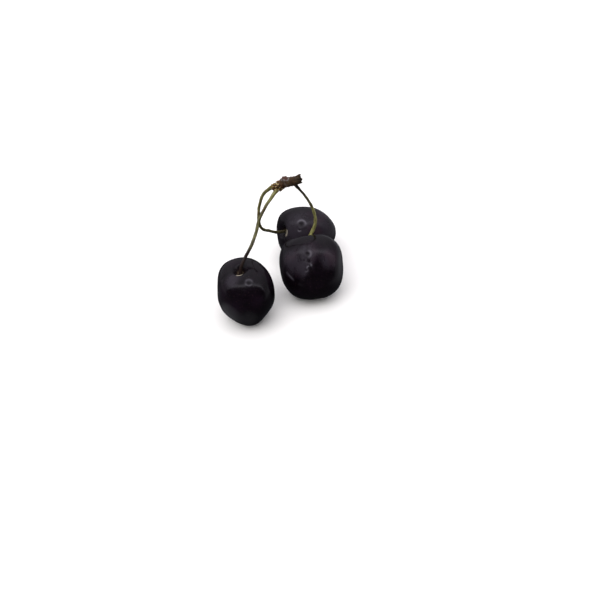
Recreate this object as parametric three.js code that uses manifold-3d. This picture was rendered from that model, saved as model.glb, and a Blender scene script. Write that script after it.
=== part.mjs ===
// A cluster of three dark sweet cherries on their stalks, still joined to the short woody spur
// that they grew from, lying on a level surface as it was picked.
//
// Millimetres, +Z up, the surface is z = 0. +Y runs from the front cherry to the back one.
// The origin is on the surface, under the middle of the cluster's box.
import * as THREE from "three";
import { mergeVertices } from "three/addons/utils/BufferGeometryUtils.js";
import Module from "manifold-3d";

const wasm = await Module();
wasm.setup();

const { degToRad } = THREE.MathUtils;
const vector = (point) => new THREE.Vector3(...point);
const bell = (x) => Math.exp(-x * x);
const POLE = new THREE.Vector3(0, 0, 1);
// The signed angle from one bearing to another, the short way round.
const turnFrom = (from, to) => Math.atan2(Math.sin(to - from), Math.cos(to - from));

// ---------------------------------------------------------------- driving dimensions

const CLEARANCE = 0.3; // left between two pieces that meet
const PRESS = 0.25; // how far a fruit is flattened where it rests

// Each fruit: its size, how much wider it is at the stalk end than at the other (heart), where its
// middle stands on the surface, which way and how far its stalk end leans, how far it is turned about
// its own axis, and its soft dents (a negative depth is a swelling). A dent's place is its bearing
// about the fruit's axis and its height above the fruit's equator, in degrees.
const FRUITS = {
  front: {
    width: 26, thick: 21.5, height: 24.4, heart: 0.087,
    at: [0.4, 0.4], lean: 191, tilt: 13, turn: 99,
    dents: [
      { bearing: 68, height: -10, depth: 0.5 },
      { bearing: 99, height: 24, depth: 0.3 },
      { bearing: 210, height: 39, depth: -0.7 },
      { bearing: 248, height: 10, depth: 0.5 },
      { bearing: 266, height: -10, depth: -1.8 },
      { bearing: 290, height: -30, depth: -0.6 },
      { bearing: 328, height: -47, depth: -0.9 },
      { bearing: 30, height: -39, depth: 0.9 },
    ],
  },
  middle: {
    width: 25.8, thick: 22.9, height: 26.5, heart: 0.057,
    at: [25.4, 14.9], lean: 106, tilt: 38, turn: -109,
    dents: [
      { bearing: 351, height: -6, depth: 1.2 },
      { bearing: 30, height: 85, depth: -0.5 },
      { bearing: 166, height: 50, depth: -0.9 },
      { bearing: 175, height: -39, depth: -0.5 },
      { bearing: 210, height: -85, depth: 0.5 },
    ],
  },
  back: {
    width: 23.5, thick: 21.7, height: 25.4, heart: 0.067,
    at: [22.9, 40], lean: 204, tilt: 69, turn: 158,
    dents: [
      { bearing: 345, height: -63, depth: -0.3 },
      { bearing: 43, height: -35, depth: 0.5 },
      { bearing: 66, height: 5, depth: 0.4 },
      { bearing: 92, height: 44, depth: -1 },
      { bearing: 165, height: 63, depth: 0.6 },
    ],
  },
};
const DENT_SPREAD = 0.45; // radians from a dent's middle to where it has faded
const SQUARENESS = 2.15; // 2 is an ellipsoid, more is boxier
// The hollow that the stalk stands in. These three radii are shares of half the fruit's width.
const HOLLOW = { depth: 3.2, radius: 0.18 };
const SHOULDER = { depth: 0.8, radius: 0.42 }; // the wide dip round the hollow
const BLOSSOM_DIMPLE = { depth: 0.5, radius: 0.12 }; // at the other end
const SEAM = { bearing: degToRad(-90), depth: 0.012, width: 0.1 }; // the fruit's seam, from end to end
const SEAM_FLAT = { depth: 0.03, width: 0.6 }; // the flatter side that it runs down
const FRUIT_SIDES = 44;
const FRUIT_RINGS = 30;
const RING_CROWDING = 0.3; // draws the rings towards both ends, where the form turns fastest

// Each stalk runs from its fruit through these points to its root in the wood. Its girth, at the fruit
// and at the root, is a share of STALK_RADIUS.
const STALKS = {
  front: {
    through: [[-1.2, 0.8, 23.6], [0.4, 2.9, 26.5], [2.3, 5.6, 29], [4.2, 10, 32.5], [5.2, 13, 35.7],
      [7.6, 16.2, 39.5], [10.2, 19, 42.4]],
    root: [12, 20.9, 44.4],
    girth: [1, 0.95],
  },
  middle: {
    through: [[24.5, 22.1, 22.7], [25.9, 22.6, 26], [26.4, 22.8, 30], [25.3, 22.7, 34.5], [22.8, 22.3, 39.8],
      [20.3, 21.7, 43.6]],
    root: [18.5, 21.2, 46.2],
    girth: [1.12, 0.72],
  },
  back: {
    through: [[10.8, 33.6, 16.2], [8.1, 30.2, 19.2], [5.7, 27.6, 21.7], [4.4, 25.8, 25], [4.2, 25, 29],
      [4.7, 24.6, 34.5], [6.5, 23.9, 40.3], [8.8, 23.1, 43.1]],
    root: [11, 22.6, 44.9],
    girth: [0.95, 0.95],
  },
};
const STALK_RADIUS = 0.62;
const STALK_TAPER = [0.1, 0.9]; // where its girth starts and stops changing
// The flare to the disc that it stands on in the fruit, and the share of its length that this takes.
const STALK_FOOT = { swell: 1.3, share: 0.034 };
const STALK_ROOT = { swell: 0.22, share: 0.09 }; // the thicker base at the wood
const STALK_SOCKET = 1.2; // how far a stalk goes into its fruit
const STALK_STRAIGHT = 1; // and how far it stays on the fruit's axis above the hollow's floor
const STALK_SIDES = 10;
const STALK_STEPS = 34;

// The wood runs from inside the bud scales to the broken end.
const SPUR = {
  through: [[12.3, 21.8, 45], [14.4, 21.6, 46.3], [16.7, 21.3, 47.2], [18.8, 21.1, 47.8], [20.7, 21, 48.3]],
  thin: 1.1, // radius inside the bud scales
  thick: 1.75, // radius of the rest
  shoulder: 0.25, // where it reaches its full radius, as a share of its length
  lobes: [ // waves round it, each with its height as a share of the radius and its twist along the length
    { height: 0.07, count: 2, phase: 1, twist: 0 },
    { height: 0.05, count: 3, phase: 0, twist: 5 },
  ],
  scars: [0.22, 0.34, 0.45, 0.62, 0.74], // ring scars, as shares of its length
  scarHeight: 0.2,
  scarWidth: 0.025,
};
// Side buds and leaf scars stand on the wood at a share of its length and a bearing about it.
const SPUR_BUDS = [
  { along: 0.5, bearing: 70, height: 0.55, width: 0.45 },
  { along: 0.42, bearing: 250, height: 0.5, width: 0.4 },
  { along: 0.64, bearing: 165, height: 0.4, width: 0.35 },
  { along: 0.36, bearing: 92, height: 0.95, width: 0.7 },
];
// The broken end is worn thinner but for one splinter, and its rim is toothed round a sunk middle.
const BROKEN_END = {
  worn: 0.35, splinter: 1.1, bearing: 90, width: 0.5, start: 0.75, sunk: 0.25,
  teeth: [
    { height: 0.25, count: 3, phase: 3.1, twist: 0 },
    { height: 0.2, count: 7, phase: 1, twist: 0 },
  ],
};
const SPUR_SIDES = 24;
const SPUR_STEPS = 30;

// The bud scales sheathe the two paired stalks' bases and the thin end of the wood.
const COLLAR = { middle: [12.1, 21.7, 44.9], length: 5.2, radius: 1.95, sides: 18, rings: 12 };
const SCALE = { thickness: 0.7, dish: 0.35, taper: 0.45, sides: 8, rings: 6 };
const SCALE_ROWS = [
  { count: 6, start: -2.2, length: 3.6, width: 2.1, lean: 6, curl: 0.3 },
  { count: 5, start: -0.4, length: 3.1, width: 1.8, lean: 4, curl: 0.4 },
];

const GROUND = { side: 400, depth: 100 }; // what a resting fruit is flattened against

// ---------------------------------------------------------------- solids

// A mesh's closed surface as a solid, in another object's frame.
function solidOf(mesh, frame = mesh) {
  mesh.updateMatrixWorld(true);
  frame.updateMatrixWorld(true);
  const toFrame = frame.matrixWorld.clone().invert().multiply(mesh.matrixWorld);
  const surface = mesh.geometry.clone().applyMatrix4(toFrame);
  surface.deleteAttribute("normal");
  surface.deleteAttribute("uv");
  const closed = mergeVertices(surface);
  return new wasm.Manifold(
    new wasm.Mesh({
      numProp: 3,
      vertProperties: closed.attributes.position.array,
      triVerts: new Uint32Array(closed.index.array),
    }),
  );
}

function geometryOf(solid) {
  const { vertProperties, triVerts } = solid.getMesh();
  const geometry = new THREE.BufferGeometry();
  geometry.setAttribute("position", new THREE.BufferAttribute(vertProperties, 3));
  geometry.setIndex(new THREE.BufferAttribute(triVerts, 1));
  const faceted = geometry.toNonIndexed();
  faceted.computeVertexNormals();
  return faceted;
}

// Cuts the tools out of a mesh, and keeps its largest piece.
function carve(mesh, ...tools) {
  let solid = solidOf(mesh);
  for (const tool of tools) solid = solid.subtract(solidOf(tool, mesh));
  const pieces = solid.decompose();
  pieces.sort((a, b) => b.volume() - a.volume());
  mesh.geometry = geometryOf(pieces[0]);
}

// A closed rod bent along a curve. radiusAt(t, bearing) is its outline and endAt(t, bearing, onRim) moves
// its end faces along it. grow makes it fatter and longer, to cut the room that another piece needs.
function bentRod({ curve, sides, steps, radiusAt, endAt = () => 0 }, grow = 0) {
  const rod = new THREE.CylinderGeometry(1, 1, 1, sides, steps);
  const frames = curve.computeFrenetFrames(steps);
  const vertices = rod.attributes.position;
  const point = new THREE.Vector3();
  for (let i = 0; i < vertices.count; i++) {
    const step = Math.round((vertices.getY(i) + 0.5) * steps);
    const t = step / steps;
    const bearing = Math.atan2(vertices.getZ(i), vertices.getX(i));
    const onRim = Math.hypot(vertices.getX(i), vertices.getZ(i)) > 0.5;
    const radius = onRim ? radiusAt(t, bearing) + grow : 0;
    const push = t === 0 ? -grow : t === 1 ? grow + endAt(t, bearing, onRim) : 0;
    curve.getPointAt(t, point);
    point.addScaledVector(frames.normals[step], radius * Math.cos(bearing));
    point.addScaledVector(frames.binormals[step], -radius * Math.sin(bearing));
    point.addScaledVector(frames.tangents[step], push);
    vertices.setXYZ(i, point.x, point.y, point.z);
  }
  return rod;
}

// ---------------------------------------------------------------- fruit

// A point of the skin, in the fruit's own frame: its stalk stands on +Z.
function skinPoint(fruit, polar, bearing) {
  const across = Math.max(0, Math.sin(polar));
  const along = Math.cos(polar);
  const power = 2 / SQUARENESS;
  const reach = across ** power * (1 + fruit.heart * along);
  const rise = Math.sign(along) * Math.abs(along) ** power;
  const ray = new THREE.Vector3(across * Math.cos(bearing), across * Math.sin(bearing), along);
  let swell = 1;
  for (const dent of fruit.dents) {
    const height = degToRad(dent.height);
    const toDent = new THREE.Vector3(Math.cos(height), 0, Math.sin(height));
    toDent.applyAxisAngle(POLE, degToRad(dent.bearing));
    swell -= (dent.depth / (fruit.width / 2)) * bell(ray.angleTo(toDent) / DENT_SPREAD);
  }
  const fromSeam = turnFrom(SEAM.bearing, bearing);
  swell -= SEAM.depth * bell(fromSeam / SEAM.width) * Math.sqrt(across);
  swell -= SEAM_FLAT.depth * bell(fromSeam / SEAM_FLAT.width) * across ** 2;
  const nearTop = Math.sqrt(Math.max(0, along));
  const nearBottom = Math.sqrt(Math.max(0, -along));
  const sunk =
    nearTop * (HOLLOW.depth * bell(reach / HOLLOW.radius) + SHOULDER.depth * bell(reach / SHOULDER.radius)) -
    nearBottom * BLOSSOM_DIMPLE.depth * bell(reach / BLOSSOM_DIMPLE.radius);
  return new THREE.Vector3(
    (fruit.width / 2) * reach * Math.cos(bearing) * swell,
    (fruit.thick / 2) * reach * Math.sin(bearing) * swell,
    (fruit.height / 2) * rise * swell - sunk,
  );
}

function fruitMesh(name, fruit, material) {
  const geometry = new THREE.SphereGeometry(1, FRUIT_SIDES, FRUIT_RINGS).rotateX(Math.PI / 2);
  const vertices = geometry.attributes.position;
  for (let i = 0; i < vertices.count; i++) {
    const even = Math.acos(THREE.MathUtils.clamp(vertices.getZ(i), -1, 1));
    const polar = even - RING_CROWDING * Math.sin(2 * even);
    const point = skinPoint(fruit, polar, Math.atan2(vertices.getY(i), vertices.getX(i)));
    vertices.setXYZ(i, point.x, point.y, point.z);
  }
  geometry.rotateZ(degToRad(fruit.turn));
  const mesh = new THREE.Mesh(geometry, material);
  mesh.name = name;
  mesh.rotation.set(0, degToRad(fruit.tilt), degToRad(fruit.lean), "ZYX");
  mesh.updateMatrixWorld(true);
  const lowest = new THREE.Box3().setFromObject(mesh, true).min.z;
  mesh.position.set(...fruit.at, -lowest - PRESS);
  mesh.updateMatrixWorld(true);
  return mesh;
}

// A point on the fruit's axis, a height above the floor of the hollow that its stalk stands in.
function aboveHollow(fruit, mesh, height) {
  const floor = skinPoint(fruit, 0, 0);
  return mesh.localToWorld(new THREE.Vector3(0, 0, floor.z + height));
}

// ---------------------------------------------------------------- stalks

function stalkRod(fruit, fruitNode, { through, root, girth }) {
  const foot = aboveHollow(fruit, fruitNode, -STALK_SOCKET);
  const leaving = aboveHollow(fruit, fruitNode, STALK_STRAIGHT);
  const points = [foot, leaving, ...[...through, root].map(vector)];
  const curve = new THREE.CatmullRomCurve3(points, false, "centripetal");
  const radiusAt = (t) => {
    const tapered = THREE.MathUtils.smoothstep(t, ...STALK_TAPER);
    const plain = STALK_RADIUS * THREE.MathUtils.lerp(...girth, tapered);
    const flare = STALK_FOOT.swell * bell(t / STALK_FOOT.share);
    return plain + flare + STALK_ROOT.swell * bell((1 - t) / STALK_ROOT.share);
  };
  return { curve, sides: STALK_SIDES, steps: STALK_STEPS, radiusAt };
}

// ---------------------------------------------------------------- wood

// The sum of some waves round a rod, at a bearing and a share of its length.
function waves(list, bearing, t = 0) {
  let sum = 0;
  for (const { height, count, phase, twist } of list) {
    sum += height * Math.sin(count * bearing + phase + twist * t);
  }
  return sum;
}

function spurRod() {
  const curve = new THREE.CatmullRomCurve3(SPUR.through.map(vector), false, "centripetal");
  const length = curve.getLength();
  const radiusAt = (t, bearing) => {
    const full = THREE.MathUtils.smoothstep(t, 0, SPUR.shoulder);
    let radius = THREE.MathUtils.lerp(SPUR.thin, SPUR.thick, full);
    radius *= 1 + waves(SPUR.lobes, bearing, t);
    for (const scar of SPUR.scars) radius += SPUR.scarHeight * bell((t - scar) / SPUR.scarWidth);
    for (const bud of SPUR_BUDS) {
      const round = turnFrom(degToRad(bud.bearing), bearing) / bud.width;
      const along = ((t - bud.along) * length) / (bud.width * SPUR.thick);
      radius += bud.height * bell(Math.hypot(round, along));
    }
    const nearEnd = THREE.MathUtils.smoothstep(t, BROKEN_END.start, 1);
    const fromSplinter = turnFrom(degToRad(BROKEN_END.bearing), bearing) / BROKEN_END.width;
    return radius + nearEnd * (BROKEN_END.splinter * bell(fromSplinter) - BROKEN_END.worn);
  };
  const endAt = (t, bearing, onRim) => (onRim ? waves(BROKEN_END.teeth, bearing) : -BROKEN_END.sunk);
  return { curve, sides: SPUR_SIDES, steps: SPUR_STEPS, radiusAt, endAt };
}

// ---------------------------------------------------------------- bud scales

// One papery scale: a pointed, curled blade that stands on the origin along +Z, its back to +X.
function scaleMesh({ length, width, curl }) {
  const geometry = new THREE.SphereGeometry(1, SCALE.sides, SCALE.rings).rotateX(Math.PI / 2);
  const vertices = geometry.attributes.position;
  for (let i = 0; i < vertices.count; i++) {
    const t = (vertices.getZ(i) + 1) / 2;
    const side = vertices.getY(i);
    const out = vertices.getX(i) * (SCALE.thickness / 2) + curl * t * t - SCALE.dish * side * side;
    vertices.setXYZ(i, out, side * (width / 2) * (1 - SCALE.taper * t), t * length);
  }
  return new THREE.Mesh(geometry);
}

function budScalesMesh(name, material, towardsStalks) {
  const collar = new THREE.SphereGeometry(1, COLLAR.sides, COLLAR.rings).rotateX(Math.PI / 2);
  collar.scale(COLLAR.radius, COLLAR.radius, COLLAR.length / 2);
  const mesh = new THREE.Mesh(collar, material);
  mesh.name = name;
  let solid = solidOf(mesh);
  SCALE_ROWS.forEach((row, rowIndex) => {
    for (let i = 0; i < row.count; i++) {
      const scale = scaleMesh(row);
      const bearing = ((i + rowIndex / 2) * 2 * Math.PI) / row.count;
      const spoke = new THREE.Group();
      spoke.rotation.z = bearing;
      scale.position.set(COLLAR.radius - SCALE.thickness / 2, 0, row.start);
      scale.rotation.y = degToRad(row.lean);
      spoke.add(scale);
      spoke.updateMatrixWorld(true);
      solid = solid.add(solidOf(scale, mesh));
    }
  });
  mesh.geometry = geometryOf(solid);
  mesh.position.set(...COLLAR.middle);
  mesh.quaternion.setFromUnitVectors(POLE, towardsStalks);
  mesh.updateMatrixWorld(true);
  return mesh;
}

// ---------------------------------------------------------------- assembly

const skin = new THREE.MeshStandardMaterial({ name: "cherry_skin", color: 0x1c1018, roughness: 0.25 });
const green = new THREE.MeshStandardMaterial({ name: "stalk_green", color: 0x7a7645, roughness: 0.6 });
const bark = new THREE.MeshStandardMaterial({ name: "spur_bark", color: 0x4a3a2c, roughness: 0.85 });
const husk = new THREE.MeshStandardMaterial({ name: "bud_scale", color: 0x9a6a2c, roughness: 0.7 });

const named = (name, geometry, material) => Object.assign(new THREE.Mesh(geometry, material), { name });
const cluster = new THREE.Group();

const ground = new THREE.Mesh(new THREE.BoxGeometry(GROUND.side, GROUND.side, GROUND.depth));
ground.position.z = -GROUND.depth / 2;

const spurShape = spurRod();
const spur = named("spur", bentRod(spurShape), bark);
const budScales = budScalesMesh("bud_scales", husk, spurShape.curve.getTangentAt(0).negate());

for (const [place, fruit] of Object.entries(FRUITS)) {
  const cherry = fruitMesh(`cherry_${place}`, fruit, skin);
  const shape = stalkRod(fruit, cherry, STALKS[place]);
  const stalk = named(`stalk_${place}`, bentRod(shape), green);
  const room = new THREE.Mesh(bentRod(shape, CLEARANCE));
  carve(cherry, ground, room);
  if (place === "middle") carve(spur, room);
  else carve(budScales, room);
  cluster.add(cherry, stalk);
}
carve(budScales, new THREE.Mesh(bentRod(spurShape, CLEARANCE)));
cluster.add(spur, budScales);

// The origin goes under the middle of the box.
const box = new THREE.Box3().setFromObject(cluster, true);
const middle = box.getCenter(new THREE.Vector3());
cluster.position.set(-middle.x, -middle.y, -box.min.z);

export default cluster;
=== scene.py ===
"""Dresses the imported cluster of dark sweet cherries: glossy fruit, stalks, a woody spur and bud scales.

The file is laid out as an add-on and is run as a script. Lengths in the form tables are millimetres in
the cluster's own frame. They repeat the CAD model's driving values on finer meshes. The fruit, the stalks
and the wood are seated in the boxes of the CAD nodes that they stand for.
"""

import math
from functools import partial

import bpy
import numpy as np
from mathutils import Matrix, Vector


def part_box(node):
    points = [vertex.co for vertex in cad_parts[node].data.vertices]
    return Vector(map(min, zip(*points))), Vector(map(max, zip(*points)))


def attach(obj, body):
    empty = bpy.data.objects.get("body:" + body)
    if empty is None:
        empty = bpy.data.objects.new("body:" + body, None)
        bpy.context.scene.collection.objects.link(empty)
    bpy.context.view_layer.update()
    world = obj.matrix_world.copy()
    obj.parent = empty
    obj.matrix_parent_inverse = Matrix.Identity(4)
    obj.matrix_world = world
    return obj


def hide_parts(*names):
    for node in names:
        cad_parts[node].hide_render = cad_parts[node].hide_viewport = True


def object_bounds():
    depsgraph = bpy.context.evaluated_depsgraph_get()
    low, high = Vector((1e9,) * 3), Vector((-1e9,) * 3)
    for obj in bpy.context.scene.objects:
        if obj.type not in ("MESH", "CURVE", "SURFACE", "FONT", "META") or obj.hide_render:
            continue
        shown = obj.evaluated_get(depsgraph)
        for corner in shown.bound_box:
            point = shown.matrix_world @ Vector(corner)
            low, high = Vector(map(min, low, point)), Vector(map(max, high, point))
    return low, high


bl_info = {
    "name": "Sweet cherry cluster",
    "version": (1, 0, 0),
    "blender": (4, 5, 0),
    "location": "View3D > Sidebar > Cherries",
    "description": "Builds a cluster of dark sweet cherries on their stalks and spur",
    "category": "Add Mesh",
}

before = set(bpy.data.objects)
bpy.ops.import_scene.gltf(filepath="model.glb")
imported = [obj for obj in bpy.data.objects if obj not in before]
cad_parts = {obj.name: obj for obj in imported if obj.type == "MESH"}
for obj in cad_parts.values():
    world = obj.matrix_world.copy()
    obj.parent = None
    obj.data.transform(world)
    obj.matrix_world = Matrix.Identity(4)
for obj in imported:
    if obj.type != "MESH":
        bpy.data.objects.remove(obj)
CAD_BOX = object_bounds()

MM = 0.001  # metres

# -------- forms that the CAD model has too

PRESS = 0.25  # how far a fruit is flattened where it rests

# Each fruit's size, how much wider it is at its stalk end (heart), where its middle stands, how its stalk
# end leans and how far it is turned about its axis. Places on a fruit are a bearing about its axis and a
# height above its equator, in degrees. A soft dent has these and its depth, which is negative for a swelling.
FRUITS = {
    "front": {
        "width": 26, "thick": 21.5, "height": 24.4, "heart": 0.087,
        "at": (0.4, 0.4), "lean": 191, "tilt": 13, "turn": 99,
        "dents": [
            (68, -10, 0.5), (99, 24, 0.3), (210, 39, -0.7), (248, 10, 0.5), (266, -10, -1.8),
            (290, -30, -0.6), (328, -47, -0.9), (30, -39, 0.9),
        ],
    },
    "middle": {
        "width": 25.8, "thick": 22.9, "height": 26.5, "heart": 0.057,
        "at": (25.4, 14.9), "lean": 106, "tilt": 38, "turn": -109,
        "dents": [(351, -6, 1.2), (30, 85, -0.5), (166, 50, -0.9), (175, -39, -0.5), (210, -85, 0.5)],
    },
    "back": {
        "width": 23.5, "thick": 21.7, "height": 25.4, "heart": 0.067,
        "at": (22.9, 40), "lean": 204, "tilt": 69, "turn": 158,
        "dents": [(345, -63, -0.3), (43, -35, 0.5), (66, 5, 0.4), (92, 44, -1), (165, 63, 0.6)],
    },
}
DENT_SPREAD = 0.45  # radians
SQUARENESS = 2.15  # 2 is an ellipsoid, more is boxier
HOLLOW = {"depth": 3.2, "radius": 0.18}  # where the stalk stands; radii are shares of half the width
SHOULDER = {"depth": 0.8, "radius": 0.42}
BLOSSOM_DIMPLE = {"depth": 0.5, "radius": 0.12}
SEAM = {"bearing": math.radians(-90), "depth": 0.012, "width": 0.1}
SEAM_FLAT = {"depth": 0.03, "width": 0.6}

# Each stalk runs from its fruit through these points to its root in the wood. Its girth, at the fruit
# and at the root, is a share of the stalks' radius, and its corky foot is a share of its length.
STALKS = {
    "front": {
        "through": [(-1.2, 0.8, 23.6), (0.4, 2.9, 26.5), (2.3, 5.6, 29), (4.2, 10, 32.5), (5.2, 13, 35.7),
                    (7.6, 16.2, 39.5), (10.2, 19, 42.4)],
        "root": (12, 20.9, 44.4), "girth": (1, 0.95), "cork": 0.028,
    },
    "middle": {
        "through": [(24.5, 22.1, 22.7), (25.9, 22.6, 26), (26.4, 22.8, 30), (25.3, 22.7, 34.5),
                    (22.8, 22.3, 39.8), (20.3, 21.7, 43.6)],
        "root": (18.5, 21.2, 46.2), "girth": (1.12, 0.72), "cork": 0.03,
    },
    "back": {
        "through": [(10.8, 33.6, 16.2), (8.1, 30.2, 19.2), (5.7, 27.6, 21.7), (4.4, 25.8, 25),
                    (4.2, 25, 29), (4.7, 24.6, 34.5), (6.5, 23.9, 40.3), (8.8, 23.1, 43.1)],
        "root": (11, 22.6, 44.9), "girth": (0.95, 0.95), "cork": 0.008,
    },
}
STALK_TAPER = (0.1, 0.9)  # its girth changes between these shares of its length
STALK_FOOT = {"swell": 1.3, "share": 0.034}
STALK_ROOT = {"swell": 0.22, "share": 0.09}
STALK_SOCKET = 1.2  # how far it stands in the fruit
STALK_STRAIGHT = 1  # how far it rises from the hollow before it bends

SPUR = {
    "through": [
        (12.3, 21.8, 45), (14.4, 21.6, 46.3), (16.7, 21.3, 47.2), (18.8, 21.1, 47.8), (20.7, 21, 48.3),
    ],
    "thin": 1.1, "thick": 1.75, "shoulder": 0.25,
    "lobes": [
        {"height": 0.07, "count": 2, "phase": 1, "twist": 0},
        {"height": 0.05, "count": 3, "phase": 0, "twist": 5},
    ],
    "scars": [0.22, 0.34, 0.45, 0.62, 0.74],
    "scar_height": 0.2, "scar_width": 0.025,
}
# A share of the wood's length, a bearing in degrees, a height in mm and a width in radians.
SPUR_BUDS = [
    {"along": 0.5, "bearing": 70, "height": 0.55, "width": 0.45},
    {"along": 0.42, "bearing": 250, "height": 0.5, "width": 0.4},
    {"along": 0.64, "bearing": 165, "height": 0.4, "width": 0.35},
    {"along": 0.36, "bearing": 92, "height": 0.95, "width": 0.7},
]
# The snapped end is worn thinner but for one splinter, toothed at its rim and sunk in its middle.
BROKEN_END = {
    "worn": 0.35, "splinter": 1.1, "bearing": 90, "width": 0.5, "start": 0.75, "sunk": 0.25,
    "teeth": [
        {"height": 0.25, "count": 3, "phase": 3.1, "twist": 0},
        {"height": 0.2, "count": 7, "phase": 1, "twist": 0},
    ],
}
COLLAR = {"middle": (12.1, 21.7, 44.9), "length": 5.2, "radius": 1.95}

# -------- detail that only this file adds

# Seeds of the random draws. A fruit's waves are seeded by its place in the alphabet.
SEEDS = {"scales": 7, "stalks": 40, "bark": 60, "fibres": 61}

FRUIT_SIDES = 256
FRUIT_RINGS = 170
RING_CROWDING = 0.3  # radians by which the rings are drawn towards the fruit's two ends
# Faint waves in the skin over the flesh: how long and how high they are.
RIPPLES = [{"length": 9, "height": 0.035}, {"length": 4.5, "height": 0.012}]
RIPPLE_START = (0.1, 0.35)  # they set in outside the hollow, at shares of half the fruit's width
RIPPLE_WAVES = 14
RIPPLE_VARIETY = (0.7, 1.4)  # how long a wave is, as a share of the length asked for
# Wax bloom, laid where the skin should show the sky's grey sheen, so it is partly a painted reflection: a
# bearing, a height and its spread in radians.
BLOOM_AND_SHEEN = {
    "front": [(-45, 62, 0.3)],
    "middle": [(-125, 18, 0.5), (-108, 5, 0.42), (-104, -6, 0.2), (-92, 28, 0.42), (-48, 10, 0.42)],
    "back": [(-33, 44, 0.8), (-30, 0, 0.8), (5, -12, 0.35)],
}
# Old pocks in the skin: a low ring round a dip, with painted shade in the dip and a pale crescent, a painted
# highlight, on its side towards another place.
POCKS = {
    "front": [
        {"at": (8, 51), "radius": 1.15, "rise": 0.02, "dip": 0.08, "pale": (20, 60), "share": 0.45},
        {"at": (8, 51), "radius": 1.15, "rise": 0.02, "dip": 0, "pale": (-4, 42), "share": 0.35},
    ],
    "middle": [
        {"at": (-90, 27), "radius": 1.2, "rise": 0.15, "dip": 0.15, "pale": (-82, 26), "share": 0.7},
        {"at": (-90, 13), "radius": 0.9, "rise": 0.06, "dip": 0.08, "pale": (-92, 5), "share": 0.25},
        {"at": (-88.5, 5), "radius": 0.4, "rise": 0.12, "dip": 0, "pale": (-85, 6), "share": 1},
        {"at": (-93, 1), "radius": 0.45, "rise": 0.12, "dip": 0, "pale": (-95, 3), "share": 0.9},
        {"at": (-99, 16), "radius": 0.6, "rise": 0.06, "dip": 0.08, "pale": (-94, 10), "share": 0.15},
        {"at": (-98, -3), "radius": 0.6, "rise": 0.08, "dip": 0.05, "pale": (-96, -9), "share": 0.45},
    ],
    "back": [
        {"at": (-19, 40), "radius": 1.65, "rise": 0.2, "dip": 0.28, "pale": (-11, 37), "share": 0.9},
        {"at": (-33, 44), "radius": 0.55, "rise": 0.15, "dip": 0.15, "pale": (-39, 44), "share": 1},
    ],
}
# The ring's least width, and the share of its radius to add to that. Then, as shares of its radius: how
# wide the dip and the painted shade in it are, and where the crescent of painted highlight sets in, from the
# middle.
POCK = {"ring": (0.18, 0.19), "dip": 0.55, "dark": 0.7, "crescent": (-0.5, 0.9)}
# A pale crescent on the lip of the hollow, a painted highlight: its bearing, its reach from the axis in mm,
# its sizes and how pale it is.
LIP_HIGHLIGHTS = {
    "front": [{"bearing": -14, "reach": 3.2, "width": 0.34, "spread": 0.42, "share": 1}],
    "back": [{"bearing": -50, "reach": 3.4, "width": 1.1, "spread": 0.45, "share": 0.36}],
}
LIP_HIGHLIGHT_EDGE = (0.25, 0.6)
# A short crease in the skin, between two places, with a painted highlight along it.
CREASES = {
    "middle": [{"ends": [(-143, 0), (-129, -20)], "width": 0.42, "depth": 0.17, "share": 0.8}],
}
# Round marks in the finish, as shares of half the fruit's width, and the seam's line, in radians.
HOLLOW_BROWN = 1.15 * HOLLOW["radius"]
STALK_SCAR = {"radius": 0.09, "width": 0.022}
BLOSSOM_SCAR = 0.035
SEAM_LINE = 0.05

STALK_SIDES = 28
STALK_RINGS = 220
STALK_RIDGES = [{"height": 0.035, "count": 7, "phase": 0, "twist": 3}]
STALK_LUMPS = {"length": 2.6, "height": 0.03}
# How green and pale each stalk is along its length, from 0, reddish brown, to about 1. Besides the brown at
# the fruit, the tones carry painted light and shade: the middle stalk's dark upper stretch is painted shade.
STALK_TONES = {
    "front": [
        (0.05, 0), (0.28, 0.03), (0.35, 0.27), (0.42, 0.25), (0.48, 0.42), (0.55, 0.4), (0.62, 0.36),
        (0.7, 0.28), (0.78, 0.32), (0.86, 0.68), (1, 0.75),
    ],
    "middle": [(0, 0.85), (0.25, 1.05), (0.5, 1.1), (0.62, 0.42), (0.8, 0.25), (1, 0)],
    "back": [(0.05, 0.15), (0.2, 0.25), (0.45, 0.42), (0.62, 0.55), (0.74, 0.65), (0.84, 0.52), (1, 0.5)],
}
CORK_FADE = 1.3  # the cork ends softly at so many times its length

SPUR_SIDES = 120
SPUR_RINGS = 190
BARK_WRINKLE = {"length": 0.8, "height": 0.05, "count": 40}
BARK_STRETCH = (1, 1, 0.35)  # its wrinkles run along the wood
SCAR_MARK = 0.8  # how wide a ring scar's colour is, as a share of the scar
# The broken end: rings that close it, as shares of its radius, and the torn fibres on it.
END_RINGS = 14
END_SHARES = (0.97, 0.04)
END_FIBRES = {"length": 0.5, "height": 0.12, "count": 40}
END_START = 0.93

BLADE_SIDES = 20
BLADE_RINGS = 22
# A scale is cupped and tapers. Its crinkles, along and across it, and its ragged tip have a depth and then
# radians of wave.
BLADE = {"cup": 0.35, "taper": 0.5, "crinkle": (0.07, 9, 4), "phases": (0, 6), "ragged": (0.12, 11)}
# Bud scales in rings about the collar: where each ring starts, towards the stalks.
SCALE_ROWS = [
    {"count": 7, "start": -2.5, "length": 2.1, "width": 1.5, "lean": 2, "curl": 0.1, "radius": 1.7},
    {"count": 8, "start": -1.6, "length": 2.2, "width": 1.2, "lean": 1, "curl": 0.25, "radius": 1.7},
    {"count": 8, "start": -0.6, "length": 2.1, "width": 1.05, "lean": 0, "curl": 0.35, "radius": 1.6},
    {"count": 8, "start": 0.5, "length": 1.9, "width": 0.9, "lean": -2, "curl": 0.45, "radius": 1.35},
]
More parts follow.
